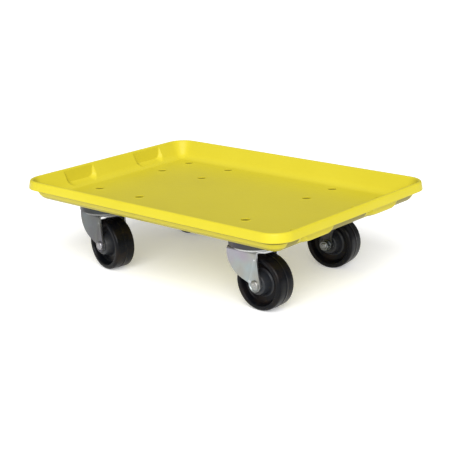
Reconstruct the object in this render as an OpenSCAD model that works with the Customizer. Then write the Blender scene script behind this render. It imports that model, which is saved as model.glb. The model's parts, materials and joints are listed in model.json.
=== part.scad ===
// Tray dolly: a shallow moulded tray on four swivel casters.
// Millimetres, +Z up, long side along X. The origin is on the floor, under the middle of the tray.

/* [Tray] */
// Length over the skirt of the rim
tray_len = 493; // [440:1:560]
// Width over the skirt of the rim
tray_w = 350; // [320:1:420]
// Corner radius in plan, measured at the crest of the rim
corner_r = 28; // [28:1:60]
// Thickness of the moulded shell
shell_t = 3.5; // [3:0.5:5]
// Height of the crest of the rim above the load deck
rim_h = 27.9; // [24:0.1:40]
// Lean of the walls, outward from vertical
wall_lean = 28; // [15:1:32]
// Radius of the cove between the deck and the walls
cove_r = 16; // [8:1:18]

/* [Rim] */
// Radius of the rounded crest
crest_r = 3.2; // [2.5:0.1:4]
// Height of the skirt below the crest
skirt_h = 12.8; // [10:0.1:16]
// Thickness of the skirt
skirt_t = 2.6; // [2:0.1:3]

/* [End pockets] */
// Width of each pocket in the end walls
pocket_w = 60; // [40:1:72]
// Distance from the middle of the end wall to the pocket nearer to it
pocket_near_y = 66; // [60:1:75]
// Distance from the middle of the end wall to the pocket farther from it
pocket_far_y = 82; // [75:1:90]
// Height of the pocket floor above the load deck
pocket_z = 2; // [2:0.5:8]
// Radius of the lower corners of the pockets
pocket_r = 12; // [6:1:16]
// Lean of the back of the pockets
pocket_lean = 8; // [4:1:14]

/* [Casters] */
// Overall height of a caster, floor to top of plate
caster_h = 101.6; // [98:0.1:110]
// Distance of the swivel axes from the middle, along X
swivel_x = 146; // [120:1:160]
// Distance of the swivel axes from the middle, along Y
swivel_y = 100; // [90:1:105]
// Trail of the axle behind the swivel axis
trail = 16; // [12:1:18]
// Heading of the front right caster
heading_fr = 0; // [0:1:360]
// Heading of the back right caster
heading_br = 187; // [0:1:360]
// Heading of the front left caster
heading_fl = 350; // [0:1:360]
// Heading of the back left caster
heading_bl = 172; // [0:1:360]

/* [Top plate] */
// Length of the mounting plate
plate_len = 104; // [98:1:110]
// Width of the mounting plate
plate_w = 80; // [76:1:90]
// Thickness of the mounting plate
plate_t = 3.2; // [2.5:0.1:4]
// Spacing of the mounting rivets along X
rivet_x = 86; // [80:1:90]
// Spacing of the mounting rivets along Y
rivet_y = 63; // [60:1:70]
// Diameter of the mounting rivets
rivet_d = 6; // [5:1:6]

/* [Wheel] */
// Diameter of the wheel
wheel_d = 76.2; // [70:0.1:78]
// Width of the tread
tread_w = 31.8; // [28:0.1:34]
// Length of the hub
hub_len = 38; // [36:0.5:39]
// Diameter of the axle bolt
axle_d = 8; // [7:0.1:10]

/* [Fork] */
// Thickness of the fork metal
fork_t = 2.8; // [2.5:0.1:3]
// Distance between the insides of the legs
fork_gap = 40; // [39.4:0.1:41]

/* [Hidden] */
$fn = 64;
fit = 0.05;
corner_names = ["front_right", "back_right", "front_left", "back_left"];
piece_names = ["top_plate", "kingpin", "lower_race", "fork", "upper_balls", "lower_balls",
    "axle_bolt", "axle_sleeve", "axle_washers", "axle_nut", "wheel"];

tray_yellow = [0.92, 0.85, 0.24];
zinc = [0.72, 0.73, 0.75];
ball_steel = [0.82, 0.82, 0.84];
wheel_black = [0.07, 0.07, 0.08];

// Caster positions and headings, in the order of corner_names
caster_pos = [
    [swivel_x, -swivel_y],
    [swivel_x, swivel_y],
    [-swivel_x, -swivel_y],
    [-swivel_x, swivel_y]];
caster_heading = [heading_fr, heading_br, heading_fl, heading_bl];

// Heights
deck_z = caster_h + shell_t;
plate_z = caster_h - plate_t;
axle_z = wheel_d / 2;

// Rim outline: u is the distance outward from the crest line, v the height above the deck
skirt_out = 4.2;
crease_v = rim_h - 6.8;
crease_u = 3.6;
half_len = tray_len / 2 - skirt_out;
half_w = tray_w / 2 - skirt_out;
crest_u = -0.54;
crest_v = rim_h - crest_r;
inner_u0 = crest_u - crest_r * cos(wall_lean) - (crest_v + crest_r * sin(wall_lean)) * tan(wall_lean);
cove_tangent = cove_r * tan((90 - wall_lean) / 2);
cove_u = inner_u0 - cove_tangent;
outer_u0 = inner_u0 + shell_t / cos(wall_lean);
gap_top_v = rim_h - 5.6;
skirt_end_v = rim_h - skirt_h;

// Points along an arc from one angle to another
function arc(cu, cv, r, a0, a1, n) =
    [for (i = [0:n]) [cu + r * cos(a0 + (a1 - a0) * i / n), cv + r * sin(a0 + (a1 - a0) * i / n)]];

// Section of the shell, from the corner centre outwards
shell_section = concat(
    [[-corner_r, 0]],
    arc(cove_u, cove_r, cove_r, -90, -wall_lean, 8),
    arc(crest_u, crest_v, crest_r, 180 - wall_lean, 14, 8),
    [[crease_u, crease_v], [skirt_out, skirt_end_v + 0.6], [skirt_out - 0.6, skirt_end_v],
     [skirt_out - skirt_t, skirt_end_v], [skirt_out - skirt_t - 0.8, gap_top_v - 1.5],
     [skirt_out - skirt_t - 2, gap_top_v], [outer_u0 + gap_top_v * tan(wall_lean), gap_top_v - 0.6]],
    arc(cove_u, cove_r, cove_r + shell_t, -wall_lean, -90, 8),
    [[-corner_r, -shell_t]]);

// A ring of even width: outer radius, inner radius, height
module ring(r_out, r_in, h) {
    difference() {
        cylinder(r = r_out, h = h);
        translate([0, 0, -1])
            cylinder(r = r_in, h = h + 2);
    }
}

// Sweeps the shell section along one straight side, length along Y, outwards along +X
module straight_side(reach, length) {
    translate([reach, length / 2, 0])
        rotate([90, 0, 0])
            linear_extrude(length)
                polygon(shell_section);
}

// Sweeps the shell section round one corner
module round_corner() {
    rotate_extrude(angle = 90)
        translate([corner_r, 0])
            polygon(shell_section);
}

// The moulded shell without its pockets, deck at height 0
module shell() {
    side_x = half_len - corner_r;
    side_y = half_w - corner_r;
    translate([-side_x, -side_y, -shell_t])
        cube([2 * side_x, 2 * side_y, shell_t]);
    for (turn = [0, 180]) rotate([0, 0, turn]) {
        straight_side(half_len, 2 * side_y);
        rotate([0, 0, 90])
            straight_side(half_w, 2 * side_x);
        translate([side_x, side_y, 0])
            round_corner();
        translate([-side_x, side_y, 0])
            rotate([0, 0, 90])
                round_corner();
    }
}

// U-shaped outline of a pocket, grown by some margin, drawn with width along X and height along Y
module pocket_outline(grow, top) {
    w = pocket_w / 2 + grow;
    r = pocket_r + grow;
    low = pocket_z - grow;
    translate([-w, low + r])
        square([2 * w, top - low - r]);
    translate([-w + r, low])
        square([2 * w - 2 * r, top - low]);
    for (side = [-1, 1])
        translate([side * (w - r), low + r])
            circle(r);
}

// Prism of a pocket that ends at its leaning back plane, pushed outwards by some depth
module pocket_prism(grow, depth, top) {
    back_u = crest_u - crest_r;
    translate([back_u + depth, 0, crest_v])
        rotate([0, pocket_lean, 0])
            translate([0, 0, -crest_v])
                rotate([90, 0, -90])
                    linear_extrude(26)
                        pocket_outline(grow, top);
}

// Space between the wall and the back of a pocket, as a section swept along Y
module bulge_space() {
    low = pocket_z - shell_t;
    slope = tan(wall_lean);
    mid_u0 = (inner_u0 + outer_u0) / 2;
    rotate([90, 0, 0])
        translate([0, 0, -pocket_w])
            linear_extrude(2 * pocket_w)
                polygon([
                    [cove_u + cove_r * sin(35), low + 0.8],
                    [mid_u0 + 8 * slope, 8],
                    [mid_u0 + 24 * slope, 24],
                    [1.5, 24],
                    [1.5, low],
                    [cove_u + cove_r * sin(42), low]]);
}

// The four pockets: calls its children once at each pocket place, outwards along +X
module at_pockets() {
    for (turn = [0, 180]) for (pocket_y = [-pocket_far_y, pocket_near_y])
        rotate([0, 0, turn])
            translate([half_len, pocket_y, 0])
                children();
}

// Places of the sixteen mounting rivets
module at_rivets() {
    for (place = caster_pos) for (sx = [-1, 1]) for (sy = [-1, 1])
        translate([place[0] + sx * rivet_x / 2, place[1] + sy * rivet_y / 2, 0])
            children();
}

// Countersunk shape of a rivet head, top of the head at height 0
head_d = 12.6;
head_h = 3.2;
head_sink = 0.3;
rivet_clear = 0.2;
module countersink(clear) {
    translate([0, 0, -head_h])
        cylinder(r1 = rivet_d / 2 + clear, r2 = head_d / 2 + clear, h = head_h);
}

module tray() {
    color(tray_yellow)
        translate([0, 0, deck_z])
            difference() {
                union() {
                    shell();
                    at_pockets()
                        intersection() {
                            pocket_prism(shell_t, shell_t, rim_h);
                            bulge_space();
                        }
                }
                at_pockets()
                    pocket_prism(0, 0, rim_h - 1.8);
                at_rivets() {
                    translate([0, 0, -shell_t - 1])
                        cylinder(r = rivet_d / 2 + rivet_clear, h = shell_t + 1);
                    translate([0, 0, -head_sink])
                        countersink(rivet_clear);
                    translate([0, 0, -head_sink])
                        cylinder(r = head_d / 2 + rivet_clear, h = 1);
                }
            }
}

// Flush rivets through the deck and the caster plates, upset below the plate
module mounting_rivets() {
    tail_r = 4.8;
    tail_h = 1.3;
    stack = shell_t + plate_t - head_sink;
    color(zinc)
        translate([0, 0, deck_z - head_sink])
            at_rivets() {
                countersink(0);
                translate([0, 0, -stack - tail_h / 2])
                    cylinder(d = rivet_d, h = stack + tail_h / 2 - head_h + 0.2);
                translate([0, 0, -stack - tail_h])
                    cylinder(r1 = tail_r - 0.9, r2 = tail_r, h = tail_h);
            }
}

// A hexagon nut with its hole, across-flats size and height
module hex_nut(af, hole_d, h) {
    difference() {
        cylinder(d = af / cos(30), h = h, $fn = 6);
        translate([0, 0, -1])
            cylinder(d = hole_d, h = h + 2);
    }
}

// Swivel bearing sizes, shared by the plate, the fork and the races
upper_ball_r = 3.5;
upper_pitch_r = 27;
upper_ball_z = plate_z - 3 - upper_ball_r - 0.1;
upper_ball_count = 20;
lower_ball_r = 2.2;
lower_pitch_r = 11.5;
crown_z = 85;
crown_r = 31;
kingpin_r = 6;
hollow_z = crown_z + 2;
lower_ball_z = hollow_z - lower_ball_r - 0.1;
lower_ball_count = 12;
race_groove = 0.1;

// A groove for the balls, as a solid ring to cut away
module ball_groove(pitch_r, ball_r, z) {
    translate([0, 0, z])
        rotate_extrude()
            translate([pitch_r, 0])
                circle(ball_r + race_groove);
}

// A ring of loose balls
module balls(pitch_r, ball_r, z, count) {
    color(ball_steel)
        for (i = [0:count - 1])
            rotate([0, 0, i * 360 / count])
                translate([pitch_r, 0, z])
                    sphere(ball_r, $fn = 24);
}

module top_plate() {
    corner = 9;
    cup_r = 36;
    cup_wall = 3.4;
    cup_h = 10;
    color(zinc)
        difference() {
            union() {
                translate([-plate_len / 2 + corner, -plate_w / 2, plate_z])
                    cube([plate_len - 2 * corner, plate_w, plate_t]);
                translate([-plate_len / 2, -plate_w / 2 + corner, plate_z])
                    cube([plate_len, plate_w - 2 * corner, plate_t]);
                for (sx = [-1, 1]) for (sy = [-1, 1])
                    translate([sx * (plate_len / 2 - corner), sy * (plate_w / 2 - corner), plate_z])
                        cylinder(r = corner, h = plate_t);
                translate([0, 0, plate_z - cup_h])
                    ring(cup_r, cup_r - cup_wall, cup_h + 0.5);
                translate([0, 0, plate_z - 3.6])
                    ring(cup_r - 1, 18, 4.1);
            }
            ball_groove(upper_pitch_r, upper_ball_r, upper_ball_z);
            translate([0, 0, plate_z - 1])
                cylinder(r = kingpin_r + fit, h = plate_t + 2);
            translate([0, 0, caster_h - 2.5])
                cylinder(r1 = kingpin_r + fit, r2 = kingpin_r + fit + 2.6, h = 2.6);
            for (sx = [-1, 1]) for (sy = [-1, 1])
                translate([sx * rivet_x / 2, sy * rivet_y / 2, plate_z - 1])
                    cylinder(r = rivet_d / 2 + rivet_clear, h = plate_t + 2);
        }
}

// Rivet that holds the fork to the plate, with a head formed at each end
module kingpin() {
    foot_z = 78.4;
    color(zinc) {
        translate([0, 0, foot_z])
            cylinder(r = kingpin_r, h = caster_h - 0.2 - foot_z);
        translate([0, 0, caster_h - 2.5])
            cylinder(r1 = kingpin_r, r2 = kingpin_r + 2.3, h = 2.3);
        translate([0, 0, foot_z])
            cylinder(r1 = kingpin_r + 1, r2 = kingpin_r + 2.6, h = 1.4);
    }
}

module lower_race() {
    race_z = 79.85;
    color(zinc)
        difference() {
            translate([0, 0, race_z])
                ring(14.4, kingpin_r + fit, 3.4);
            ball_groove(lower_pitch_r, lower_ball_r, lower_ball_z);
        }
}

// Rear edge of a leg of the fork, X along the heading and Y as height, from the crown down to the tip.
// The front casters have a broad rear web, and the back ones a narrow strap.
leg_top = crown_z - fork_t;
broad_edge = [[-31, leg_top], [-31, 75], [-28.5, 65], [-22.5, 55.5], [-13.5, 47.8], [-4, 43.6], [3, 41.2]];
narrow_edge = [[-12, leg_top], [-9, 76], [-1, 67], [4, 60.5], [7, 51]];

// Outline of one leg of the fork below its rear edge and round its tip
module leg_outline(rear_edge) {
    tip_r = 9.5;
    translate([trail, axle_z])
        circle(tip_r);
    polygon(concat(rear_edge, [
        [trail - tip_r + 0.2, axle_z + 1.5], [trail - tip_r + 0.6, axle_z - 3], [trail, axle_z],
        [trail + tip_r - 0.2, axle_z + 1.5], [22.5, 57], [21, 70], [20, leg_top]]));
}

// Rear edges of the forks, in the order of corner_names
caster_rear_edge = [broad_edge, narrow_edge, broad_edge, narrow_edge];

// Teardrop recess round the axle that runs up into each leg
recess_r = 8.4;
recess_t = 1;
module leg_recess() {
    hull() {
        translate([trail, axle_z])
            circle(recess_r);
        translate([trail + 1, crown_z - 12])
            circle(0.8);
    }
}

module fork(rear_edge) {
    leg_y = fork_gap / 2;
    bend_r = fork_t + 1.6;
    bend_x0 = rear_edge[0][0] + 1;
    bend_len = 20 - bend_x0;
    color(zinc)
        difference() {
            union() {
                translate([0, 0, crown_z - fork_t])
                    cylinder(r = crown_r, h = fork_t);
                translate([0, 0, crown_z - 0.5])
                    cylinder(r = crown_r, h = 4.9);
                for (side = [-1, 1]) {
                    translate([0, side > 0 ? leg_y + fork_t : -leg_y, 0])
                        rotate([90, 0, 0])
                            linear_extrude(fork_t)
                                intersection() {
                                    leg_outline(rear_edge);
                                    translate([-40, 0])
                                        square([80, crown_z - bend_r]);
                                }
                    translate([bend_x0, side * (leg_y + fork_t - bend_r), crown_z - bend_r])
                        rotate([0, 90, 0])
                            cylinder(r = bend_r, h = bend_len);
                    translate([bend_x0, side * (leg_y + fork_t - bend_r - 2) - 2, crown_z - fork_t])
                        cube([bend_len, 4, fork_t]);
                }
            }
            translate([-40, -leg_y, crown_z - bend_r - 20])
                cube([80, 2 * leg_y, 20 + bend_r - fork_t]);
            for (face = [-leg_y - fork_t + recess_t, leg_y + fork_t + 1])
                translate([0, face, 0])
                    rotate([90, 0, 0])
                        linear_extrude(recess_t + 1)
                            leg_recess();
            translate([0, 0, crown_z - 10])
                cylinder(r = kingpin_r + 2, h = 20);
            translate([0, 0, crown_z - 10])
                cylinder(r = lower_pitch_r + 4, h = hollow_z - crown_z + 10);
            ball_groove(upper_pitch_r, upper_ball_r, upper_ball_z);
            translate([trail, -leg_y - 5, axle_z])
                rotate([-90, 0, 0])
                    cylinder(r = axle_d / 2 + fit, h = 2 * leg_y + 10);
        }
}

module upper_balls() {
    balls(upper_pitch_r, upper_ball_r, upper_ball_z, upper_ball_count);
}

module lower_balls() {
    balls(lower_pitch_r, lower_ball_r, lower_ball_z, lower_ball_count);
}

// Turns its children so that their Z lies along the axle, outwards on the +Y side of the caster
module on_axle() {
    translate([trail, 0, axle_z])
        rotate([-90, 0, 0])
            children();
}

// Distance from the middle of the caster to the bottom of a leg's recess, where the bolt clamps
clamp_y = fork_gap / 2 + fork_t - recess_t;
axle_nut_af = 13;
axle_nut_h = 6.5;
axle_washer_r = 8;
axle_washer_t = 1.5;
hub_sleeve_t = 2.4;

module axle_bolt() {
    tail = clamp_y + axle_washer_t + axle_nut_h + 1.5;
    head_w = 13;
    head_t = 3.4;
    color(zinc)
        on_axle() {
            translate([0, 0, -clamp_y - 0.1])
                cylinder(d = axle_d, h = clamp_y + 0.1 + tail);
            translate([0, 0, -clamp_y])
                rotate([180, 0, 0])
                    rotate_extrude()
                        intersection() {
                            translate([0, -(head_w * head_w / 4 - head_t * head_t) / (2 * head_t)])
                                circle((head_w * head_w / 4 + head_t * head_t) / (2 * head_t));
                            square([head_w, head_w]);
                        }
        }
}

module axle_sleeve() {
    color(zinc)
        on_axle()
            translate([0, 0, -fork_gap / 2])
                ring(axle_d / 2 + hub_sleeve_t, axle_d / 2 + fit, fork_gap);
}

// Thin thrust washers between the hub and the legs
module axle_washers() {
    washer_gap = (fork_gap - hub_len) / 2;
    color(zinc)
        on_axle()
            for (side = [-1, 1])
                translate([0, 0, side > 0 ? fork_gap / 2 - washer_gap + 0.2 : -fork_gap / 2])
                    ring(9.5, axle_d / 2 + hub_sleeve_t + fit, washer_gap - 0.2);
}

module axle_nut() {
    color(zinc)
        on_axle()
            translate([0, 0, clamp_y]) {
                ring(axle_washer_r, axle_d / 2 + fit, axle_washer_t);
                translate([0, 0, axle_washer_t])
                    hex_nut(axle_nut_af, axle_d + 2 * fit, axle_nut_h);
            }
}

// Half section of the wheel: X is the radius, Y the distance along the axle
module wheel_half_section() {
    rim_r = wheel_d / 2;
    face = tread_w / 2;
    hub_face = hub_len / 2;
    shoulder = 4.5;
    web = 5.5;
    bore_r = axle_d / 2 + hub_sleeve_t + fit;
    polygon(concat(
        [[bore_r, 0], [rim_r, 0]],
        arc(rim_r - shoulder, face - shoulder, shoulder, 0, 90, 8),
        [[31.5, face], [30.5, face - 0.8], [29, web + 3.5], [26.5, web + 1], [24, web],
         [22, web], [20, web + 1], [18.6, web + 3], [14.6, hub_face - 0.8], [13.8, hub_face],
         [bore_r + 0.8, hub_face], [bore_r, hub_face - 0.8]]));
}

module wheel() {
    color(wheel_black)
        on_axle()
            for (side = [0, 180])
                rotate([side, 0, 0])
                    rotate_extrude()
                        wheel_half_section();
}

// Draws one piece of a caster by its name; rear_edge shapes the legs of the fork
module caster_piece(piece, rear_edge) {
    if (piece == "top_plate") top_plate();
    if (piece == "kingpin") kingpin();
    if (piece == "lower_race") lower_race();
    if (piece == "fork") fork(rear_edge);
    if (piece == "upper_balls") upper_balls();
    if (piece == "lower_balls") lower_balls();
    if (piece == "axle_bolt") axle_bolt();
    if (piece == "axle_sleeve") axle_sleeve();
    if (piece == "axle_washers") axle_washers();
    if (piece == "axle_nut") axle_nut();
    if (piece == "wheel") wheel();
}

tray();
mounting_rivets();
// The plate lies square to the tray, and everything else turns with the heading of its caster
for (i = [0:3]) for (piece = piece_names)
    translate([caster_pos[i][0], caster_pos[i][1], 0])
            rotate([0, 0, piece == "top_plate" ? 0 : caster_heading[i]])
                caster_piece(piece, caster_rear_edge[i]);
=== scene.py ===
import json
import math

import bmesh
import bpy
from mathutils import Matrix, Vector


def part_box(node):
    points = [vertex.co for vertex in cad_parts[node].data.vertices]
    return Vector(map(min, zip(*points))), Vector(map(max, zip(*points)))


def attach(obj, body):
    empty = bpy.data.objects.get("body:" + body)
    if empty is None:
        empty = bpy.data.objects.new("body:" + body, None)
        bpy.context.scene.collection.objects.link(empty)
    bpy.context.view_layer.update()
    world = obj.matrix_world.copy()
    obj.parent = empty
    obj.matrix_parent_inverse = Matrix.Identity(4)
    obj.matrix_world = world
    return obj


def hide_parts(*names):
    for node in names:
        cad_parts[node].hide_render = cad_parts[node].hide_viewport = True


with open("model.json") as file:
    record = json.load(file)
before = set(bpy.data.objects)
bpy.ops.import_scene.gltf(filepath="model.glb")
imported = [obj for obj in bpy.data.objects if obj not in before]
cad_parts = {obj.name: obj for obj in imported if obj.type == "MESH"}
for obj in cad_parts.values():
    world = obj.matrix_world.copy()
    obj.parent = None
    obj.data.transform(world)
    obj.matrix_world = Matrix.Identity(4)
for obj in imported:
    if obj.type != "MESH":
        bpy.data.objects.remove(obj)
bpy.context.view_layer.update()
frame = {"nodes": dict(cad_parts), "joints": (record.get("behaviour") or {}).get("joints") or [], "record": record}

MM = 0.001
RECORD = frame["record"]
CORNERS = ["front_right", "back_right", "front_left", "back_left"]
JOINTS = {joint["name"]: joint for joint in frame["joints"]}

# ------------------------------------------------------------------ sizes, in millimetres, from the frame

TRAY_LOW, TRAY_HIGH = (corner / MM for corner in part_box("tray"))
MOUNTS = {mount["name"]: mount for mount in RECORD["mounts"]}
DECK_Z = MOUNTS["load_deck"]["pos_m"][2] / MM
SHELL_T = DECK_Z - TRAY_LOW.z
CORNER_R = 28
WALL_LEAN = math.radians(28)
COVE_R = 16
CREST_R = 3.2
SKIRT_OUT = 4.2
SKIRT_T = 2.6
RIM_H = TRAY_HIGH.z - DECK_Z
HALF_LEN = TRAY_HIGH.x - SKIRT_OUT
HALF_W = TRAY_HIGH.y - SKIRT_OUT
SKIRT_END = RIM_H - 12.8
CREST_U, CREST_V = -0.54, RIM_H - CREST_R
WALL_SLOPE = math.tan(WALL_LEAN)
INNER_U0 = (CREST_U - CREST_R * math.cos(WALL_LEAN)
            - (CREST_V + CREST_R * math.sin(WALL_LEAN)) * WALL_SLOPE)
COVE_U = INNER_U0 - COVE_R * math.tan(math.radians(90) / 2 - WALL_LEAN / 2)
OUTER_U0 = INNER_U0 + SHELL_T / math.cos(WALL_LEAN)

POCKET_NEAR_Y, POCKET_FAR_Y = 66, 82
POCKET_HALF, POCKET_FLOOR, POCKET_R = 30, 2.0, 12
POCKET_LEAN = math.tan(math.radians(8))
POCKET_BACK_U = CREST_U - CREST_R

PLATE_TOP = TRAY_LOW.z
PLATE_T = 3.2
CROWN_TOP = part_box("fork_front_right")[1].z / MM - 4.4
AXLE_Z = JOINTS["roll_front_right"]["pos_m"][2] / MM
WHEEL_LOW, WHEEL_HIGH = (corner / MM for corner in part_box("wheel_front_right"))
WHEEL_R = (WHEEL_HIGH.z - WHEEL_LOW.z) / 2
HUB_LEN = WHEEL_HIGH.y - WHEEL_LOW.y


# ------------------------------------------------------------------ small helpers

def smooth_step(low, high, value):
    """0 at low and 1 at high, with a soft start and end."""
    t = min(1, max(0, (value - low) / (high - low)))
    return t * t * (3 - 2 * t)


def smooth_min(a, b, blend):
    """The smaller of two values, rounded where they are within blend of each other."""
    h = min(1, max(0, 0.5 + 0.5 * (b - a) / blend))
    return b + (a - b) * h - blend * h * (1 - h)


def arc(cu, cv, radius, start, end, count):
    """Points of an arc, angles in degrees, both ends included."""
    angles = [math.radians(start + (end - start) * i / count) for i in range(count + 1)]
    return [(cu + radius * math.cos(a), cv + radius * math.sin(a)) for a in angles]


def line(a, b, count):
    """Points from a to b, both ends left out."""
    return [tuple(p + (q - p) * i / count for p, q in zip(a, b)) for i in range(1, count)]


def make_object(name, bm, sharp=35, material=None):
    """Turns a bmesh in millimetres into a smooth-shaded object in metres, with its sharp edges marked."""
    bmesh.ops.remove_doubles(bm, verts=bm.verts, dist=1e-4)
    bmesh.ops.dissolve_degenerate(bm, edges=bm.edges, dist=1e-5)
    bmesh.ops.recalc_face_normals(bm, faces=bm.faces)
    limit = math.radians(sharp)
    for face in bm.faces:
        face.smooth = True
    for edge in bm.edges:
        edge.smooth = len(edge.link_faces) == 2 and edge.calc_face_angle(0) < limit
    bmesh.ops.scale(bm, vec=(MM, MM, MM), verts=bm.verts)
    mesh = bpy.data.meshes.new(name)
    bm.to_mesh(mesh)
    bm.free()
    piece = bpy.data.objects.new(name, mesh)
    bpy.context.scene.collection.objects.link(piece)
    for each in (material if isinstance(material, tuple) else (material,)):
        mesh.materials.append(each)
    return piece


def add_grid(bm, rows, wrap_rows=False, wrap_columns=False, index_of=None):
    """Adds a sheet of quads through rows of points. index_of(row, column) gives a quad's material."""
    verts = [[bm.verts.new(p) for p in row] for row in rows]
    row_count, column_count = len(verts), len(verts[0])
    for i in range(row_count if wrap_rows else row_count - 1):
        for j in range(column_count if wrap_columns else column_count - 1):
            a, b = verts[i], verts[(i + 1) % row_count]
            k = (j + 1) % column_count
            face = bm.faces.new((a[j], a[k], b[k], b[j]))
            face.material_index = index_of(i, j) if index_of else 0
    return verts


def add_lathe(bm, profile, segments=96, closed=True, shape=None, index_of=None):
    """Turns a profile of (radius, height) points about Z. shape(angle, point) may change the radius."""
    rows = []
    for i in range(segments):
        angle = 2 * math.pi * i / segments
        row = []
        for radius, height in profile:
            if shape:
                radius, height = shape(angle, radius, height)
            row.append((radius * math.cos(angle), radius * math.sin(angle), height))
        rows.append(row)
    return add_grid(bm, rows, wrap_rows=True, wrap_columns=closed, index_of=index_of)


def soften(piece, width, segments=2, angle=40):
    """Rounds the sharp edges of a piece, width in millimetres."""
    bevel = piece.modifiers.new("soft_edges", "BEVEL")
    bevel.width = width * MM
    bevel.segments = segments
    bevel.limit_method = "ANGLE"
    bevel.angle_limit = math.radians(angle)
    bevel.harden_normals = False
    bevel.use_clamp_overlap = True
    return piece


def place(piece, body, node):
    """Says which body a piece moves with, which CAD nodes it stands for."""
    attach(piece, body)
    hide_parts(*([node] if isinstance(node, str) else node))


# ------------------------------------------------------------------ materials

def new_material(name):
    """A new material, its node tree and its main shader."""
    material = bpy.data.materials.new(name)
    material.use_nodes = True
    tree = material.node_tree
    shader = tree.nodes["Principled BSDF"]
    return material, tree, shader


def position_noise(tree, scale, detail=4, roughness=0.55, stretch=(1, 1, 1), offset=0.0):
    """Noise over the piece's own coordinates, scale in cycles per metre. Returns its value socket."""
    coordinates = tree.nodes.new("ShaderNodeTexCoord")
    mapping = tree.nodes.new("ShaderNodeMapping")
    mapping.inputs["Scale"].default_value = stretch
    mapping.inputs["Location"].default_value = (offset, offset * 0.7, offset * 0.3)
    texture = tree.nodes.new("ShaderNodeTexNoise")
    texture.inputs["Scale"].default_value = scale
    texture.inputs["Detail"].default_value = detail
    texture.inputs["Roughness"].default_value = roughness
    tree.links.new(coordinates.outputs["Object"], mapping.inputs["Vector"])
    tree.links.new(mapping.outputs["Vector"], texture.inputs["Vector"])
    return texture.outputs["Fac"]


def remap(tree, value, low, high, to_low, to_high):
    """Maps a socket's range low to high onto to_low to to_high."""
    node = tree.nodes.new("ShaderNodeMapRange")
    node.inputs["From Min"].default_value = low
    node.inputs["From Max"].default_value = high
    node.inputs["To Min"].default_value = to_low
    node.inputs["To Max"].default_value = to_high
    tree.links.new(value, node.inputs["Value"])
    return node.outputs["Result"]


def mix_colors(tree, factor, first, second):
    """Mixes two colours by a factor socket. A colour is a socket or an (r, g, b) value."""
    node = tree.nodes.new("ShaderNodeMix")
    node.data_type = "RGBA"
    tree.links.new(factor, node.inputs["Factor"])
    for key, color in (("A", first), ("B", second)):
        socket = [s for s in node.inputs if s.name == key and s.type == "RGBA"][0]
        if isinstance(color, bpy.types.NodeSocket):
            tree.links.new(color, socket)
        else:
            socket.default_value = (*color, 1)
    return [s for s in node.outputs if s.type == "RGBA"][0]


def combine(tree, operation, first, second):
    """Math on two values; each is a socket or a number."""
    node = tree.nodes.new("ShaderNodeMath")
    node.operation = operation
    for index, value in enumerate((first, second)):
        if isinstance(value, bpy.types.NodeSocket):
            tree.links.new(value, node.inputs[index])
        else:
            node.inputs[index].default_value = value
    return node.outputs[0]


def add_bump(tree, shader, height, strength, distance, before=None):
    """Bumps the surface by a height socket, distance in metres."""
    node = tree.nodes.new("ShaderNodeBump")
    node.inputs["Strength"].default_value = strength
    node.inputs["Distance"].default_value = distance
    tree.links.new(height, node.inputs["Height"])
    if before:
        tree.links.new(before, node.inputs["Normal"])
    tree.links.new(node.outputs["Normal"], shader.inputs["Normal"])
    return node.outputs["Normal"]


def edge_wear(tree, low, high):
    """1 along convex edges, 0 on flats."""
    geometry = tree.nodes.new("ShaderNodeNewGeometry")
    return remap(tree, geometry.outputs["Pointiness"], low, high, 0, 1)


def toned(color, tone):
    """A colour made darker by a factor."""
    return tuple(tone * c for c in color)


def yellow_plastic(name, tone=1.0):
    """Moulded and pigmented through, satin, with faint clouding and fine scuffs."""
    material, tree, shader = new_material(name)
    cloud = position_noise(tree, 9, detail=3)
    fine = position_noise(tree, 260, detail=5, roughness=0.6, offset=3.1)
    base = mix_colors(tree, remap(tree, cloud, 0.3, 0.7, 0, 1),
                      toned((0.535, 0.458, 0.024), tone), toned((0.558, 0.480, 0.028), tone))
    speck = remap(tree, fine, 0.55, 0.8, 0, 0.18)
    tree.links.new(mix_colors(tree, speck, base, toned((0.47, 0.40, 0.03), tone)),
                   shader.inputs["Base Color"])
    scuffs = position_noise(tree, 60, detail=6, roughness=0.65, stretch=(1, 5, 1), offset=7.7)
    gloss = combine(tree, "ADD", remap(tree, cloud, 0.3, 0.7, 0.33, 0.39),
                    remap(tree, scuffs, 0.5, 0.8, 0, 0.08))
    tree.links.new(gloss, shader.inputs["Roughness"])
    shader.inputs["IOR"].default_value = 1.45
    shader.inputs["Specular IOR Level"].default_value = 0.18
    peel = add_bump(tree, shader, position_noise(tree, 330, detail=2), 0.12, 0.00008)
    add_bump(tree, shader, position_noise(tree, 30, detail=1, offset=1.3), 0.10, 0.0004, before=peel)
    return material


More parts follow.
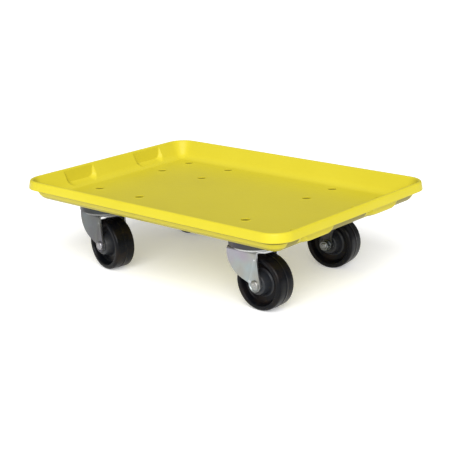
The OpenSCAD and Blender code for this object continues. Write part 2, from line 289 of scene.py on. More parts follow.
def zinc_plate(name, tone=1.0, roughness=0.34, warmth=0.35):
    """Bright zinc plate: blue-grey with faint yellow and violet passivation tints, lighter on its edges."""
    material, tree, shader = new_material(name)
    patches = position_noise(tree, 34, detail=3, roughness=0.5)
    tint = position_noise(tree, 21, detail=2, offset=5.2)
    grain = position_noise(tree, 620, detail=4, roughness=0.7, offset=2.4)
    cool = toned((0.36, 0.42, 0.44), tone)
    warm = toned((0.42, 0.39, 0.34), tone)
    violet = toned((0.39, 0.34, 0.42), tone)
    streaks = position_noise(tree, 30, detail=4, roughness=0.6, stretch=(1, 1, 0.45), offset=9.4)
    base = mix_colors(tree, remap(tree, patches, 0.35, 0.65, 0, 2 * warmth), cool, warm)
    base = mix_colors(tree, remap(tree, tint, 0.45, 0.65, 0, 0.8), base, violet)
    base = mix_colors(tree, remap(tree, streaks, 0.45, 0.7, 0, 0.5), base, toned((0.24, 0.27, 0.28), tone))
    worn = combine(tree, "MULTIPLY", edge_wear(tree, 0.515, 0.56), remap(tree, grain, 0.3, 0.6, 0.2, 1))
    tree.links.new(mix_colors(tree, worn, base, toned((0.66, 0.67, 0.68), tone)),
                   shader.inputs["Base Color"])
    shader.inputs["Metallic"].default_value = 1.0
    rough = combine(tree, "ADD", remap(tree, patches, 0.3, 0.7, roughness - 0.05, roughness + 0.08),
                    remap(tree, grain, 0.4, 0.7, 0, 0.08))
    tree.links.new(rough, shader.inputs["Roughness"])
    fine = add_bump(tree, shader, grain, 0.15, 0.00008)
    add_bump(tree, shader, position_noise(tree, 90, detail=2, offset=8.0), 0.10, 0.0003, before=fine)
    return material


def rivet_steel():
    """Heads of the rivets: tarnished, with a film of yellow rubbed over them."""
    material, tree, shader = new_material("rivet_steel")
    film = position_noise(tree, 240, detail=3)
    grain = position_noise(tree, 700, detail=3, offset=3.3)
    base = mix_colors(tree, remap(tree, film, 0.3, 0.7, 0, 1), (0.36, 0.30, 0.012), (0.27, 0.22, 0.012))
    tree.links.new(base, shader.inputs["Base Color"])
    shader.inputs["Metallic"].default_value = 0.3
    shader.inputs["Specular IOR Level"].default_value = 0.1
    tree.links.new(remap(tree, grain, 0.3, 0.7, 0.5, 0.65), shader.inputs["Roughness"])
    add_bump(tree, shader, grain, 0.15, 0.00006)
    return material


def black_wheel(name, dark, patch, specular=0.12, low_roughness=0.26):
    """Compression moulded black: semi-gloss, faintly brown in places, duller where it is dusty."""
    material, tree, shader = new_material(name)
    patches = position_noise(tree, 48, detail=4)
    grain = position_noise(tree, 480, detail=5, roughness=0.65, offset=4.4)
    base = mix_colors(tree, remap(tree, patches, 0.45, 0.7, 0, 1), dark, patch)
    dust = combine(tree, "MULTIPLY", remap(tree, grain, 0.55, 0.8, 0, 1),
                   remap(tree, patches, 0.5, 0.8, 0, 0.4))
    tree.links.new(mix_colors(tree, dust, base, (0.032, 0.025, 0.02)), shader.inputs["Base Color"])
    rough = combine(tree, "ADD", remap(tree, patches, 0.3, 0.7, low_roughness, low_roughness + 0.1),
                    remap(tree, grain, 0.4, 0.7, 0, 0.08))
    tree.links.new(rough, shader.inputs["Roughness"])
    shader.inputs["IOR"].default_value = 1.5
    shader.inputs["Specular IOR Level"].default_value = specular
    add_bump(tree, shader, grain, 0.2, 0.0001)
    return material


def polished_steel():
    """Bright balls with a thin film of grease."""
    material, tree, shader = new_material("polished_steel")
    film = position_noise(tree, 300, detail=3)
    tree.links.new(mix_colors(tree, film, (0.60, 0.60, 0.62), (0.52, 0.50, 0.46)),
                   shader.inputs["Base Color"])
    shader.inputs["Metallic"].default_value = 1.0
    tree.links.new(remap(tree, film, 0.3, 0.7, 0.12, 0.25), shader.inputs["Roughness"])
    add_bump(tree, shader, film, 0.1, 0.00005)
    return material


YELLOW = yellow_plastic("yellow_plastic")
# darker copies of the yellow: painted shade on the underside and lower outer wall (0.72), and deeper painted shade
# in the gap under the rim and between the end bulges (0.40)
YELLOW_SHADED_UNDER = yellow_plastic("yellow_shaded_under", tone=0.72)
YELLOW_DEEP_SHADE = yellow_plastic("yellow_deep_shade", tone=0.40)
TRAY_MATERIALS = (YELLOW, YELLOW_SHADED_UNDER, YELLOW_DEEP_SHADE)
ZINC_BRIGHT = zinc_plate("zinc_bright", tone=0.92)
# lit and shaded copies of one zinc, painted light and shade by corner: the front right fork is the lit copy, the
# front and back left forks carry painted shade, and the back right fork carries deep painted shade
ZINC_HALF_SHADED = zinc_plate("zinc_half_shaded", tone=0.40, roughness=0.36)
ZINC_DEEP_SHADED = zinc_plate("zinc_deep_shaded", tone=0.15, roughness=0.36)
# near-black zinc for the plate and cup: painted shade and painted dark reflection under the tray
ZINC_CUP_SHADED = zinc_plate("shaded_zinc_cup", tone=0.17, roughness=0.30)
ZINC_BOLT = zinc_plate("zinc_fastener", tone=0.72, roughness=0.40, warmth=0.5)
ZINC_NUT = zinc_plate("zinc_nut", tone=0.9, roughness=0.28, warmth=0.5)
# bluish zinc darkened by painted deep shade, for the back right nut and bolt
ZINC_SHADED_BLUE = zinc_plate("zinc_shaded_blue", tone=0.42, roughness=0.26, warmth=0.15)
RIVET = rivet_steel()
FORK_LIGHT_AND_SHADE = {"front_right": ZINC_BRIGHT, "front_left": ZINC_HALF_SHADED,
               "back_right": ZINC_DEEP_SHADED, "back_left": ZINC_HALF_SHADED}
NUT_LIGHT_AND_SHADE = {"front_right": ZINC_NUT, "front_left": ZINC_NUT,
              "back_right": ZINC_SHADED_BLUE, "back_left": ZINC_NUT}
BOLT_LIGHT_AND_SHADE = {"front_right": ZINC_BOLT, "front_left": ZINC_BOLT, "back_right": ZINC_SHADED_BLUE,
               "back_left": ZINC_BOLT}
BLACK = black_wheel("black_wheel", (0.003, 0.0034, 0.0048), (0.012, 0.008, 0.006))
# the hub boss's lighter grey base is painted sheen; its higher specular and roughness are real
HUB_SHEEN_GREY = black_wheel("hub_sheen_grey", (0.016, 0.018, 0.022), (0.022, 0.021, 0.022), specular=0.3,
                       low_roughness=0.32)
STEEL = polished_steel()


# ------------------------------------------------------------------ tray

# heights above the deck: the deeper painted shade of the gap under the rim starts, and the painted shade of the
# underside ends
DEEP_SHADE_START, UNDERSIDE_SHADE_TOP = 10.2, 4.5
LIP_R = 0.9
RIVET_X, RIVET_Y = 86, 63
RIVET_R = 3
RIVET_HOLE_R = RIVET_R + 0.2
HEAD_R = 6.3
HEAD_SINK = 0.3
HOLE_SIDES = 40
HOLE_ANGLES = [2 * math.pi * i / HOLE_SIDES for i in range(HOLE_SIDES)]
RIVETS = []
for corner in CORNERS:
    centre = JOINTS["swivel_" + corner]["pos_m"]
    for side_x in (-1, 1):
        for side_y in (-1, 1):
            RIVETS.append((centre[0] / MM + side_x * RIVET_X / 2, centre[1] / MM + side_y * RIVET_Y / 2))


def inner_section():
    """Inside of the tray and face of the rim, from the deck outwards: (u, v), u outward from the crest."""
    cove = arc(COVE_U, COVE_R, COVE_R, -90, -math.degrees(WALL_LEAN), 14)
    crest = arc(CREST_U, CREST_V, CREST_R, 180 - math.degrees(WALL_LEAN), 14, 14)
    crease = (3.45, RIM_H - 6.8)
    skirt_low = (SKIRT_OUT, SKIRT_END + LIP_R)
    lip = arc(SKIRT_OUT - LIP_R, SKIRT_END + LIP_R, LIP_R, 0, -90, 5)
    return (line((-CORNER_R, 0), cove[0], 4) + cove + line(cove[-1], crest[0], 16) + crest
            + line(crest[-1], crease, 4) + [crease] + line(crease, skirt_low, 5) + lip)


def outer_section():
    """Under the skirt, the outside of the wall and the underside, from the skirt inwards."""
    skirt_in = SKIRT_OUT - SKIRT_T
    lip = arc(skirt_in + LIP_R, SKIRT_END + LIP_R, LIP_R, -90, -180, 5)
    roof_v = RIM_H - 5.6
    wall_u = OUTER_U0 + roof_v * WALL_SLOPE
    roof = [(skirt_in - 0.5, roof_v - 2.4), (skirt_in - 1.0, roof_v - 0.9), (skirt_in - 2.0, roof_v - 0.1),
            (wall_u + 0.7, roof_v - 0.2), (wall_u - 0.2, roof_v - 1.0)]
    cove = arc(COVE_U, COVE_R, COVE_R + SHELL_T, -math.degrees(WALL_LEAN), -90, 12)
    return lip + line(lip[-1], roof[0], 4) + roof + line(roof[-1], cove[0], 14) + cove


def pocket_depth(y, v, back, grow):
    """How far a wall point moves outward for the pocket at y from its middle: 0 outside the pocket."""
    half, low, radius = POCKET_HALF + grow, POCKET_FLOOR - grow, POCKET_R + grow
    side = half - abs(y)
    bottom = v - low
    if side < radius and bottom < radius:
        inside = radius - math.hypot(radius - side, radius - bottom)
    else:
        inside = min(side, bottom)
    ramp = smooth_min(max(0.0, inside) * 1.5, back, 1.6)
    return max(0.0, min(ramp, back)) * smooth_step(-0.2, 1.6, inside)


def pocket_offset(point, normal):
    """Distance along Y from a point of an end wall to the middle of its nearest pocket."""
    centres = (-POCKET_FAR_Y * normal.x, POCKET_NEAR_Y * normal.x)
    return min((point.y - centre for centre in centres), key=abs)


def crest_path():
    """Stations round the crest: position, outward normal, and the offset to the nearest pocket."""
    stations = []
    straight_x, straight_y = HALF_LEN - CORNER_R, HALF_W - CORNER_R
    for sign_x, sign_y, turn in ((1, 1, 0), (-1, 1, 90), (-1, -1, 180), (1, -1, 270)):
        for i in range(25):
            angle = math.radians(turn + 90 * i / 24)
            normal = Vector((math.cos(angle), math.sin(angle)))
            centre = Vector((sign_x * straight_x, sign_y * straight_y))
            stations.append((centre + normal * CORNER_R, normal, None))
        along_end = turn in (90, 270)
        count = 250 if along_end else 44
        half = straight_y if along_end else straight_x
        normal = Vector((math.cos(math.radians(turn + 90)), math.sin(math.radians(turn + 90))))
        along = Vector((-normal.y, normal.x))
        reach = HALF_LEN if along_end else HALF_W
        for i in range(1, count):
            s = -half + 2 * half * i / count
            point = normal * reach + along * s
            pocket = pocket_offset(point, normal) if along_end else None
            stations.append((point, normal, pocket))
    return stations


def push_out(pocket, u, v, grow):
    """Moves a wall point outward where it lies in a pocket."""
    if pocket is None or not 0 < v + grow < CREST_V + 2:
        return u
    back = POCKET_BACK_U - (CREST_V - v) * POCKET_LEAN + grow
    return u + pocket_depth(pocket, v, max(0.0, back - u), grow)


def add_deck(bm, height, hole_r, edge_points, index):
    """A flat sheet inside an outline with a round hole at each rivet, of the material with that index."""
    rings = []
    outline = [bm.verts.new((x, y, height)) for x, y in edge_points]
    edges = [bm.edges.new((a, b)) for a, b in zip(outline, outline[1:] + outline[:1])]
    for x, y in RIVETS:
        ring = [bm.verts.new((x + hole_r * math.cos(a), y + hole_r * math.sin(a), height))
                for a in HOLE_ANGLES]
        edges += [bm.edges.new((a, b)) for a, b in zip(ring, ring[1:] + ring[:1])]
        rings.append(ring)
    filled = bmesh.ops.triangle_fill(bm, use_beauty=True, edges=edges)
    for part in filled["geom"]:
        if isinstance(part, bmesh.types.BMFace):
            part.material_index = index
    return rings


def tray_index(stations, inside, outside):
    """Says which of the tray's materials a quad of its sweep has: painted shade underneath, and deeper painted
    shade in the gap under the rim and between the end bulges.
    """
    def index_of(i, j):
        if j < len(inside):
            return 0
        v = outside[j - len(inside)][1]
        at_end = stations[i][2] is not None
        # the bulges of the end pockets stand out of the painted shade and keep the lit yellow
        if at_end and abs(stations[i][2]) < POCKET_HALF + 6:
            return 0 if v > UNDERSIDE_SHADE_TOP else 1
        # deeper painted shade: the gap under the rim, and the end walls between the bulges
        if v > DEEP_SHADE_START or at_end and v > -1:
            return 2
        return 0 if v > UNDERSIDE_SHADE_TOP else 1

    return index_of


def build_tray():
    """The moulded shell: its section swept round the rim, with end pockets, and a drilled deck."""
    bm = bmesh.new()
    inside, outside = inner_section(), outer_section()
    rows = []
    stations = crest_path()
    for point, normal, pocket in stations:
        row = []
        for u, v in inside:
            u = push_out(pocket, u, v, 0)
            row.append((point.x + normal.x * u, point.y + normal.y * u, DECK_Z + v))
        for u, v in outside:
            u = push_out(pocket, u, v, SHELL_T) if v < RIM_H - 6 and u < SKIRT_OUT - SKIRT_T - 1.6 else u
            row.append((point.x + normal.x * u, point.y + normal.y * u, DECK_Z + v))
        rows.append(row)
    add_grid(bm, rows, wrap_rows=True, index_of=tray_index(stations, inside, outside))
    top_edge = [(row[0][0], row[0][1]) for row in rows]
    under_edge = [(row[-1][0], row[-1][1]) for row in rows]
    top = add_deck(bm, DECK_Z, HEAD_R + 5, top_edge, 0)
    # the deck's underside takes index 1, the painted shade of the underside
    under = add_deck(bm, DECK_Z - SHELL_T, RIVET_HOLE_R, under_edge, 1)
    for (x, y), upper, lower in zip(RIVETS, top, under):
        levels = [(HEAD_R + 2.2, 0), (HEAD_R + 1.5, 0.08), (HEAD_R + 0.9, 0.4), (HEAD_R + 0.5, 0.5),
                  (HEAD_R + 0.22, 0.3), (HEAD_R + 0.16, -0.5), (RIVET_HOLE_R, -SHELL_T + 0.1)]
        rings = [upper]
        for radius, depth in levels:
            rings.append([bm.verts.new((x + radius * math.cos(a), y + radius * math.sin(a), DECK_Z + depth))
                          for a in HOLE_ANGLES])
        rings.append(lower)
        for a, b in zip(rings, rings[1:]):
            for i in range(len(a)):
                j = (i + 1) % len(a)
                bm.faces.new((a[i], a[j], b[j], b[i]))
    piece = make_object("tray_shell", bm, sharp=38, material=TRAY_MATERIALS)
    place(piece, "deck", "tray")
    return piece


# ------------------------------------------------------------------ fasteners

def hexagon(across_flats, angle):
    """Distance to the side of a hexagon at an angle."""
    sixth = math.pi / 3
    return across_flats / 2 / math.cos((angle % sixth) - sixth / 2)


def add_hex_nut(bm, across_flats, hole_r, low, high):
    """A nut with both corners chamfered."""
    chamfer_r = across_flats / 2 * 0.97
    slope = math.tan(math.radians(30))

    def shape(angle, radius, height):
        if radius > chamfer_r + 0.01:
            radius = hexagon(across_flats, angle)
            drop = (radius - chamfer_r) * slope
            height = low + drop if height < (low + high) / 2 else high - drop
        return radius, height

    wide = across_flats
    add_lathe(bm, [(hole_r, low + 0.5), (hole_r + 0.5, low), (chamfer_r, low), (wide, low), (wide, high),
                   (chamfer_r, high), (hole_r + 0.5, high), (hole_r, high - 0.5)], segments=72, shape=shape)


def add_thread(bm, radius, low, high, pitch, tip=0.6):
    """A threaded end: a ridge that winds up the shank, with a chamfered tip at its high end."""
    segments, steps = 40, 8
    depth = 0.54 * pitch
    turns = (high - low) / pitch
    profile_rows = []
    total = int(turns * steps)
    for i in range(segments + 1):
        turn = i / segments
        row = []
        for k in range(total + 1):
            z = low + (high - low) * k / total
            phase = (z - low) / pitch - turn
            ridge = abs((phase % 1) * 2 - 1)
            r = radius - depth * (1 - min(1, max(0, ridge * 1.5 - 0.2)))
            r = min(r, radius - (tip - (high - z)) if high - z < tip else radius)
            a = 2 * math.pi * turn
            row.append((r * math.cos(a), r * math.sin(a), z))
        row.append((0, 0, high))
        profile_rows.append(row)
    add_grid(bm, profile_rows)


def build_mounting_rivets():
    """The sixteen flush rivets: a countersunk head in the deck and an upset tail under the caster plate."""
    top = DECK_Z - HEAD_SINK
    tail_top = PLATE_TOP - PLATE_T
    profile = [(0.01, top), (3.4, top - 0.02), (4.6, top - 0.14), (HEAD_R - 0.35, top - 0.03),
               (HEAD_R - 0.05, top - 0.2), (HEAD_R - 0.1, top - 0.5), (RIVET_R, top - 3.2),
               (RIVET_R, tail_top), (4.5, tail_top), (4.8, tail_top - 0.2), (4.6, tail_top - 0.7),
               (3.9, tail_top - 1.15), (2.6, tail_top - 1.3), (1.5, tail_top - 1.2), (0.01, tail_top - 1.1)]

    def rivet_index(i, j):
        """The upset tail below the plate is bare zinc, and the head has the film."""
        return 1 if profile[j][1] <= tail_top else 0

    bm = bmesh.new()
    for x, y in RIVETS:
        start = len(bm.verts)
        add_lathe(bm, profile, segments=HOLE_SIDES, closed=False, index_of=rivet_index)
        bm.verts.ensure_lookup_table()
        bmesh.ops.translate(bm, vec=(x, y, 0), verts=bm.verts[start:])
    rivet_set = make_object("rivet_set", bm, sharp=40, material=(RIVET, ZINC_BOLT))
    place(rivet_set, "deck", "mounting_rivets")


# ------------------------------------------------------------------ casters, about their own swivel axis

FORK_T = 2.8
LEG_OUT = 20 + FORK_T
RECESS_T = 1.0
BEND_R = FORK_T + 1.6
FLAT = LEG_OUT - BEND_R
CROWN_R = 31
# groove of the upper balls, shared by the fork and the plate: pitch radius, height, radius
RACE_R, RACE_Z, GROOVE_R = 27, 91.8, 3.6
TRAIL = 16
TIP_R = 9.5
# rear edges of the legs as (height, x), up to the crown: broad on the front casters, narrow on the back ones
BROAD_REAR = [(38.1, 6.5), (39.4, 6.3), (40.5, 4.6), (41.7, 1.0), (43.6, -4), (45.5, -9.0), (47.8, -13.5),
              (51.3, -18.5), (55.5, -22.5), (60, -25.9), (65, -28.5), (70, -30.1), (75, -31), (88, -31)]
NARROW_REAR = [(38.1, 6.5), (39.6, 6.7), (45, 6.95), (51, 7.0), (55.5, 5.9), (60.5, 4.0), (64, 1.5),
               (67, -1.0), (71.5, -5.2), (76, -9.0), (80, -11.2), (82.2, -12), (88, -12)]
REAR_EDGES = {"front_right": BROAD_REAR, "front_left": BROAD_REAR,
              "back_right": NARROW_REAR, "back_left": NARROW_REAR}
LEG_FRONT = [(38.1, 25.5), (42, 25.1), (49, 23.8), (57, 22.5), (66, 21.4), (74, 20.5), (81, 20.0),
             (88, 20.0)]


def along_points(points, z):
    """Smooth curve through (z, x) points, by monotone segments."""
    for (z0, x0), (z1, x1) in zip(points, points[1:]):
        if z <= z1:
            return x0 + (x1 - x0) * max(0.0, z - z0) / (z1 - z0)
    return points[-1][1]


def leg_edges(z, rear):
    """Back and front edge of a leg at a height."""
    if z < AXLE_Z:
        half = math.sqrt(max(0.0, TIP_R ** 2 - (AXLE_Z - z) ** 2))
        return TRAIL - half, TRAIL + half
    return along_points(rear, z), along_points(LEG_FRONT, z)


def crown_edges(y, rear):
    """Back and front edge of the crown at a distance from its middle."""
    t = abs(y) / FLAT
    round_x = math.sqrt(max(0.0, CROWN_R ** 2 - y * y))
    back = -round_x + (round_x + rear[-1][1]) * smooth_step(0.6, 1.0, t)
    return back, round_x + (20.0 - round_x) * smooth_step(0.75, 1.0, t)


def dish(x, z):
    """Depth of the pressed teardrop round the axle that runs up into the leg."""
    low, high = Vector((TRAIL, AXLE_Z)), Vector((TRAIL + 1, 73.0))
    low_r, high_r = 8.2, 0.8
    span = high - low
    t = min(1, max(0, (Vector((x, z)) - low).dot(span) / span.length_squared))
    distance = (Vector((x, z)) - (low + span * t)).length - (low_r + (high_r - low_r) * t)
    return RECESS_T * smooth_step(0.7, -0.7, distance)


def fork_path():
    """Stations along the fork's sheet from one tip to the other: (y, z, outward normal)."""
    path = []
    tip = [AXLE_Z - TIP_R * math.cos(math.radians(a)) for a in range(2, 91, 8)]
    leg = tip + [AXLE_Z + (CROWN_TOP - BEND_R - AXLE_Z) * i / 64 for i in range(1, 65)]
    for z in leg:
        path.append((-LEG_OUT, z, (0, -1, 0)))
    for a in range(15, 91, 15):
        s, c = math.sin(math.radians(a)), math.cos(math.radians(a))
        path.append((-LEG_OUT + BEND_R - BEND_R * c, CROWN_TOP - BEND_R + BEND_R * s, (0, -c, s)))
    crown = [(-FLAT + 2 * FLAT * i / 24, CROWN_TOP, (0, 0, 1)) for i in range(1, 24)]
    return path + crown + [(-y, z, (0, -n[1], n[2])) for y, z, n in reversed(path)]


def add_upper_race(bm):
    """The pressed race of the upper balls, a ring on the crown."""
    race_low, race_high = CROWN_TOP - 0.4, CROWN_TOP + 4.4
    groove = arc(RACE_R, RACE_Z, GROOVE_R, 222, 318, 10)
    rim = [(15.5, race_low), (CROWN_R - 1.2, race_low), (CROWN_R - 0.2, race_low + 1.2),
           (CROWN_R, race_high - 0.6), (CROWN_R - 0.5, race_high)]
    add_lathe(bm, rim + groove[::-1] + [(22, race_high), (8.6, race_high), (8, race_high - 0.6),
                                        (8, race_high - 2)])


def build_fork_mesh(rear):
    """Fork: one bent sheet, leg, crown, leg, with rounded bends, and the pressed race on its crown."""
    bm = bmesh.new()
    columns = 56
    top_rows, under_rows = [], []
    for y, z, normal in fork_path():
        on_leg = abs(y) > LEG_OUT - 1e-6
        low_x, high_x = leg_edges(z, rear) if abs(y) > FLAT + 1e-6 else crown_edges(y, rear)
        top, under = [], []
        for j in range(columns + 1):
            x = low_x + (high_x - low_x) * (1 - math.cos(math.pi * j / columns)) / 2
            sink = dish(x, z) if on_leg else 0.0
            outer = Vector((x, y, z)) - Vector(normal) * sink
            top.append(outer)
            under.append(outer - Vector(normal) * FORK_T)
        top_rows.append(top)
        under_rows.append(under)
    upper = add_grid(bm, top_rows)
    lower = add_grid(bm, under_rows)
    rim_top = upper[0] + [r[-1] for r in upper[1:-1]] + upper[-1][::-1] + [r[0] for r in upper[-2:0:-1]]
    rim_low = lower[0] + [r[-1] for r in lower[1:-1]] + lower[-1][::-1] + [r[0] for r in lower[-2:0:-1]]
    for i in range(len(rim_top)):
        j = (i + 1) % len(rim_top)
        bm.faces.new((rim_top[i], rim_top[j], rim_low[j], rim_low[i]))
    add_upper_race(bm)
    return bm


def build_plate_mesh():
    """Top plate: rounded rectangle with four holes, and the pressed cup that covers the ball race."""
    bm = bmesh.new()
    half_x, half_y, corner_r = 52, 40, 9
    low, high = PLATE_TOP - PLATE_T, PLATE_TOP
    outline = []
    for sign_x, sign_y, turn in ((1, 1, 0), (-1, 1, 90), (-1, -1, 180), (1, -1, 270)):
        outline += arc(sign_x * (half_x - corner_r), sign_y * (half_y - corner_r), corner_r,
                       turn, turn + 90, 10)
    holes = []
    for side_x in (-1, 1):
        for side_y in (-1, 1):
            circle = arc(side_x * RIVET_X / 2, side_y * RIVET_Y / 2, RIVET_HOLE_R, 0, 360, 32)
            holes.append(circle[:-1])
    loops = [outline] + holes
    layers = []
    for z in (low, high):
        edges, rings = [], []
        for loop in loops:
            ring = [bm.verts.new((x, y, z)) for x, y in loop]
            edges += [bm.edges.new((a, b)) for a, b in zip(ring, ring[1:] + ring[:1])]
            rings.append(ring)
        bmesh.ops.triangle_fill(bm, use_beauty=True, edges=edges)
        layers.append(rings)
    for lower, upper in zip(*layers):
        for i in range(len(lower)):
            j = (i + 1) % len(lower)
            bm.faces.new((lower[i], lower[j], upper[j], upper[i]))
    cup_r, wall, depth = 36, 3.4, 10
    groove = arc(RACE_R, RACE_Z, GROOVE_R, 140, 40, 8)
    add_lathe(bm, [(18, low + 0.3), (18, low - 0.4), (22.5, low - 0.4)] + groove
              + [(31.6, low - 0.6), (cup_r - wall, low - 1.6), (cup_r - wall, low - depth + 0.6),
                 (cup_r - wall + 0.6, low - depth), (cup_r - 0.9, low - depth), (cup_r, low - depth + 0.9),
                 (cup_r, low - 2.2)] + arc(cup_r + 2.2, low - 2.2, 2.2, 180, 90, 5)
              + [(cup_r + 2.2, low + 0.3)])
    return bm


def wheel_profile():
    """Half of the wheel's section, from the bore outwards to the middle of the tread: (radius, distance)."""
    face, hub = 15.9, HUB_LEN / 2
    bore = 6.5
    web = 5.5
    points = [(bore, 0), (bore, hub - 1.0), (bore + 1.0, hub), (12.6, hub)]
    points += arc(12.6, hub - 1.8, 1.8, 90, 15, 6)
    points += [(15.3, 15.0), (16.4, 11.6)]
    points += arc(20.6, web + 3.6, 3.6, 190, 270, 8)
    points += arc(25.2, web + 3.6, 3.6, 270, 345, 8)
    points += [(29.4, 12.0), (30.2, face - 1.3)]
    points += arc(31.6, face - 1.1, 1.1, 170, 90, 5)
    points += [(33.2, face)]
    tread = WHEEL_R - 0.3
    points += arc(tread - 4.2, face - 4.2, 4.2, 90, 8, 9)
    points += [(tread - 0.02, 8), (tread, 3), (tread, 1.1), (WHEEL_R - 0.05, 0.7), (WHEEL_R, 0.4)]
    return points


def build_wheel_mesh():
    """Moulded wheel, turned about its own Z, with a fine parting ridge round the middle of the tread."""
    bm = bmesh.new()
    half = wheel_profile()
    full = [(r, d) for r, d in half if d > 0.1] + [(r, -d) for r, d in reversed(half) if d > 0.1]
    # faces inside HUB_EDGE_R take the hub's lighter grey, painted sheen of the boss
    add_lathe(bm, full, segments=144, index_of=lambda i, j: 1 if full[j][0] < HUB_EDGE_R else 0)
    return bm


HUB_EDGE_R = 20
AXLE_LOW, AXLE_HIGH = (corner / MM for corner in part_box("axle_bolt_front_right"))
AXLE_CENTRE_Y = JOINTS["roll_front_right"]["pos_m"][1] / MM
AXLE_END = AXLE_HIGH.y - AXLE_CENTRE_Y
CLAMP_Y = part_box("axle_nut_front_right")[0].y / MM - AXLE_CENTRE_Y
AXLE_HEAD_R = (AXLE_HIGH.x - AXLE_LOW.x) / 2
AXLE_HEAD_T = AXLE_CENTRE_Y - CLAMP_Y - AXLE_LOW.y
AXLE_R = 4.0
NUT_AF = 13
NUT_LOW = CLAMP_Y + 1.5
AXLE_WASHER_R = 8.0


def build_axle_bolt_mesh():
    """Axle bolt with a low domed head at -Z and a threaded end at +Z."""
    bm = bmesh.new()
    head = [(0.001, -CLAMP_Y - AXLE_HEAD_T + 0.5), (2.2, -CLAMP_Y - AXLE_HEAD_T + 0.5),
            (2.9, -CLAMP_Y - AXLE_HEAD_T + 0.2), (4.6, -CLAMP_Y - AXLE_HEAD_T + 0.35)]
    head += [(r, -CLAMP_Y - h) for r, h in ((5.4, 2.7), (6.0, 2.1), (AXLE_HEAD_R - 0.12, 1.4))]
    head += [(AXLE_HEAD_R, -CLAMP_Y - 0.5), (AXLE_HEAD_R, -CLAMP_Y - 0.1), (AXLE_HEAD_R - 0.1, -CLAMP_Y)]
    add_lathe(bm, head + [(AXLE_R, -CLAMP_Y), (AXLE_R, CLAMP_Y)], segments=64, closed=False)
    add_thread(bm, AXLE_R, CLAMP_Y - 1, AXLE_END, 1.25)
    return bm


def build_axle_nut_mesh():
    """Hexagon nut on its washer, clamped in the recess of the far leg."""
    bm = bmesh.new()
    low, high = CLAMP_Y, NUT_LOW
    add_lathe(bm, [(AXLE_R + 0.1, low), (AXLE_WASHER_R - 0.2, low), (AXLE_WASHER_R, low + 0.2),
                   (AXLE_WASHER_R, high - 0.2), (AXLE_WASHER_R - 0.2, high), (AXLE_R + 0.1, high)],
              segments=64)
    add_hex_nut(bm, NUT_AF, AXLE_R + 0.1, NUT_LOW, AXLE_END - 1.5)
    return bm


def caster_matrix(corner):
    """From a caster's own axes, swivel at the origin and heading +X, to the row frame, in millimetres."""
    swivel = Vector(JOINTS["swivel_" + corner]["pos_m"]) / MM
    axle = Vector(JOINTS["roll_" + corner]["axis"])
    heading = math.atan2(-axle.x, axle.y)
    return Matrix.Translation((swivel.x, swivel.y, 0)) @ Matrix.Rotation(heading, 4, "Z")


def stamp(builder, name, node, body, material, sharp, local, rounding=None):
    """Builds a piece from its mesh, placed by a matrix in millimetres."""
    bm = builder()
    bmesh.ops.transform(bm, matrix=local, verts=bm.verts)
    piece = make_object(name, bm, sharp=sharp, material=material)
    if rounding:
        soften(piece, rounding)
    place(piece, body, node)
    return piece


ON_AXLE = Matrix.Translation((TRAIL, 0, AXLE_Z)) @ Matrix.Rotation(-math.pi / 2, 4, "X")


def build_casters():
    """The four casters, each plate square to the tray and the rest turned to its heading."""
    for corner in CORNERS:
        turned = caster_matrix(corner)
        swivel = JOINTS["swivel_" + corner]["pos_m"]
        square = Matrix.Translation((swivel[0] / MM, swivel[1] / MM, 0))
        # the plate and cup take the dark zinc of painted shade and dark reflection
        stamp(build_plate_mesh, "plate_" + corner, "top_plate_" + corner, "deck",
              ZINC_CUP_SHADED, 30, square, rounding=0.4)
        body = "swivel_" + corner
        rear = REAR_EDGES[corner]
        # the fork's zinc tone is painted light or shade for its corner
        stamp(lambda: build_fork_mesh(rear), "yoke_" + corner, "fork_" + corner, body,
              FORK_LIGHT_AND_SHADE[corner], 40, turned, rounding=0.45)
        stamp(build_axle_bolt_mesh, "axle_" + corner, "axle_bolt_" + corner, body,
              BOLT_LIGHT_AND_SHADE[corner], 30, turned @ ON_AXLE)
        stamp(build_axle_nut_mesh, "nut_" + corner, "axle_nut_" + corner, body,
              NUT_LIGHT_AND_SHADE[corner], 25, turned @ ON_AXLE, rounding=0.15)
        stamp(build_wheel_mesh, "tyre_" + corner, "wheel_" + corner, "roller_" + corner,
              (BLACK, HUB_SHEEN_GREY), 50, turned @ ON_AXLE)


def finish_hidden_nodes():
    """Materials of the CAD nodes that stay: the inner pieces of the casters."""
    finish = {name: ZINC_BOLT for name in ("kingpin", "lower_race", "axle_sleeve", "axle_washers")}
    finish.update({name: STEEL for name in ("upper_balls", "lower_balls")})
    for corner in CORNERS:
        for name, material in finish.items():
            materials = frame["nodes"][name + "_" + corner].data.materials
            materials.clear()
            materials.append(material)


# ------------------------------------------------------------------ floor, light and camera

FLOOR_GLOW = 0.28
FLOOR_REACH = 40000
SKY_LOW, SKY_HIGH, SKY_STRENGTH = (0.26, 0.27, 0.29), (1.0, 1.0, 1.0), 0.58
KEY_AZIMUTH, KEY_ELEVATION, KEY_POWER, KEY_ANGLE = 38, 35, 4.0, 50
CAMERA_PLACE = (1.0850, -1.2119, 0.5450)
CAMERA_AZIMUTH, CAMERA_ELEVATION, CAMERA_ROLL = 41.73, 16.5, -1.67
SENSOR_WIDTH, LENS = 36, 91.9


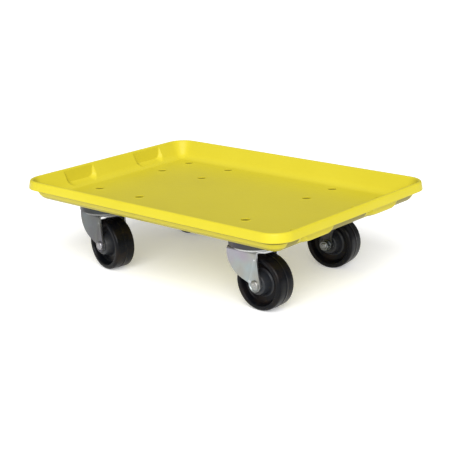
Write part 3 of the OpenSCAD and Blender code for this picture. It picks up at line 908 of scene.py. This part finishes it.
def build_floor():
    """A white table that is lit a little from within, so the shadow on it stays light."""
    bm = bmesh.new()
    ends = (-FLOOR_REACH, FLOOR_REACH)
    add_grid(bm, [[(x, y, 0) for y in ends] for x in ends])
    material, tree, shader = new_material("pale_floor")
    shade = position_noise(tree, 3, detail=2)
    tree.links.new(mix_colors(tree, shade, (0.87, 0.87, 0.87), (0.89, 0.89, 0.89)),
                   shader.inputs["Base Color"])
    shader.inputs["Roughness"].default_value = 0.85
    shader.inputs["Specular IOR Level"].default_value = 0.1
    shader.inputs["Emission Color"].default_value = (1, 1, 1, 1)
    shader.inputs["Emission Strength"].default_value = FLOOR_GLOW
    make_object("floor", bm, material=material)


def direction(azimuth, elevation):
    """Unit vector towards a light or the camera, azimuth in degrees from -Y towards +X."""
    a, e = math.radians(azimuth), math.radians(elevation)
    return Vector((math.sin(a) * math.cos(e), -math.cos(a) * math.cos(e), math.sin(e)))


def build_sky():
    """Soft light from all round: brighter overhead than at the horizon."""
    world = bpy.data.worlds.new("studio")
    world.use_nodes = True
    tree = world.node_tree
    background = tree.nodes["Background"]
    coordinates = tree.nodes.new("ShaderNodeTexCoord")
    split = tree.nodes.new("ShaderNodeSeparateXYZ")
    tree.links.new(coordinates.outputs["Generated"], split.inputs["Vector"])
    shade = remap(tree, split.outputs["Z"], 0.0, 0.9, 0.0, 1.0)
    tree.links.new(mix_colors(tree, shade, SKY_LOW, SKY_HIGH), background.inputs["Color"])
    background.inputs["Strength"].default_value = SKY_STRENGTH
    bpy.context.scene.world = world


def build_lights():
    """The sky, and one large soft sun to the right of the camera's side."""
    build_sky()
    data = bpy.data.lights.new("key", "SUN")
    data.energy = KEY_POWER
    data.angle = math.radians(KEY_ANGLE)
    key = bpy.data.objects.new("key", data)
    key.rotation_euler = direction(KEY_AZIMUTH, KEY_ELEVATION).to_track_quat("Z", "Y").to_euler()
    bpy.context.scene.collection.objects.link(key)


def build_camera():
    """The viewpoint: to the right of the front of the tray, a little above it, with a long lens."""
    data = bpy.data.cameras.new("camera")
    data.sensor_width = SENSOR_WIDTH
    data.lens = LENS
    data.clip_start = 0.01
    camera = bpy.data.objects.new("camera", data)
    azimuth, roll = math.radians(CAMERA_AZIMUTH), math.radians(CAMERA_ROLL)
    back = direction(CAMERA_AZIMUTH, CAMERA_ELEVATION)
    right = Vector((math.cos(azimuth), math.sin(azimuth), 0))
    up = back.cross(right)
    turned_right = right * math.cos(roll) + up * math.sin(roll)
    turned_up = up * math.cos(roll) - right * math.sin(roll)
    rotation = Matrix((turned_right, turned_up, back)).transposed().to_4x4()
    camera.matrix_world = Matrix.Translation(CAMERA_PLACE) @ rotation
    bpy.context.scene.collection.objects.link(camera)
    bpy.context.scene.camera = camera


build_camera()
build_lights()
build_floor()
build_tray()
build_mounting_rivets()
build_casters()
finish_hidden_nodes()

bpy.context.scene.view_settings.view_transform = "Standard"
bpy.context.scene.view_settings.look = "None"
